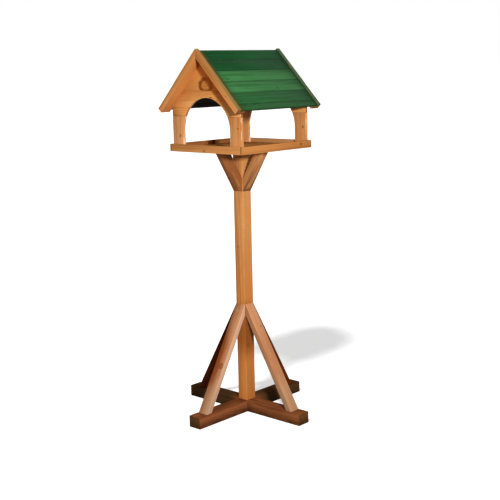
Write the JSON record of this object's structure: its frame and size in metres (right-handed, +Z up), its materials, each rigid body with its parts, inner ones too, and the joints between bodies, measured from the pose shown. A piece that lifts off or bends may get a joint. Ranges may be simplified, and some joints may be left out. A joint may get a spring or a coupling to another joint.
{
  "type": "bird table",
  "caption": "Roofed feeding tray with arched gables and a green boarded roof, on a square post with a braced cross foot.",
  "frame": {"origin": "on the ground, under the middle of the post", "axes": "+Z up, X along the ridge with the front gable facing -X, +Y to the left"},
  "size_m": [0.584, 0.584, 1.4047],
  "materials": {
    "cross_wood": "brown stained softwood, dark end grain",
    "post_wood": "tan stained softwood, planed",
    "brace_wood": "pale tan stained softwood, planed",
    "bracket_wood": "red-brown stained softwood, planed",
    "floor_wood": "tan stained board",
    "rim_wood": "tan stained softwood strip",
    "leg_wood": "orange-tan stained softwood board",
    "arch_wood": "paler tan stained softwood board",
    "gable_wood": "orange-tan stained softwood board with a knot",
    "rafter_wood": "tan stained softwood, planed",
    "roof_green": "mid green opaque stain, grain showing through",
    "zinc_steel": "zinc plated"
  },
  "bodies": {
    "root": {"cross_beam_x": "cross_wood", "cross_beam_y": "cross_wood", "post": "post_wood", "rear_brace": "brace_wood", "rear_bracket": "bracket_wood", "left_brace": "brace_wood", "left_bracket": "bracket_wood", "front_brace": "brace_wood", "front_bracket": "bracket_wood", "right_brace": "brace_wood", "right_bracket": "bracket_wood", "tray_floor": "floor_wood", "front_rim": "rim_wood", "rear_rim": "rim_wood", "left_rim": "rim_wood", "right_rim": "rim_wood", "front_left_leg": "leg_wood", "front_left_rafter": "rafter_wood", "front_right_leg": "leg_wood", "front_right_rafter": "rafter_wood", "front_arch_board": "arch_wood", "front_top_board": "gable_wood", "rear_left_leg": "leg_wood", "rear_left_rafter": "rafter_wood", "rear_right_leg": "leg_wood", "rear_right_rafter": "rafter_wood", "rear_arch_board": "arch_wood", "rear_top_board": "gable_wood", "left_roof_board_1": "roof_green", "left_roof_board_2": "roof_green", "left_roof_board_3": "roof_green", "left_roof_board_4": "roof_green", "left_roof_board_5": "roof_green", "left_roof_board_6": "roof_green", "right_roof_board_1": "roof_green", "right_roof_board_2": "roof_green", "right_roof_board_3": "roof_green", "right_roof_board_4": "roof_green", "right_roof_board_5": "roof_green", "right_roof_board_6": "roof_green", "coach_screw": "zinc_steel", "tray_screw": "zinc_steel", "rear_brace_screw": "zinc_steel", "rear_brace_nail": "zinc_steel", "rear_bracket_nail": "zinc_steel", "left_brace_screw": "zinc_steel", "left_brace_nail": "zinc_steel", "left_bracket_nail": "zinc_steel", "front_brace_screw": "zinc_steel", "front_brace_nail": "zinc_steel", "front_bracket_nail": "zinc_steel", "right_brace_screw": "zinc_steel", "right_brace_nail": "zinc_steel", "right_bracket_nail": "zinc_steel", "front_left_leg_screw": "zinc_steel", "front_right_leg_screw": "zinc_steel", "rear_left_leg_screw": "zinc_steel", "rear_right_leg_screw": "zinc_steel"}
  },
  "joints": []
}
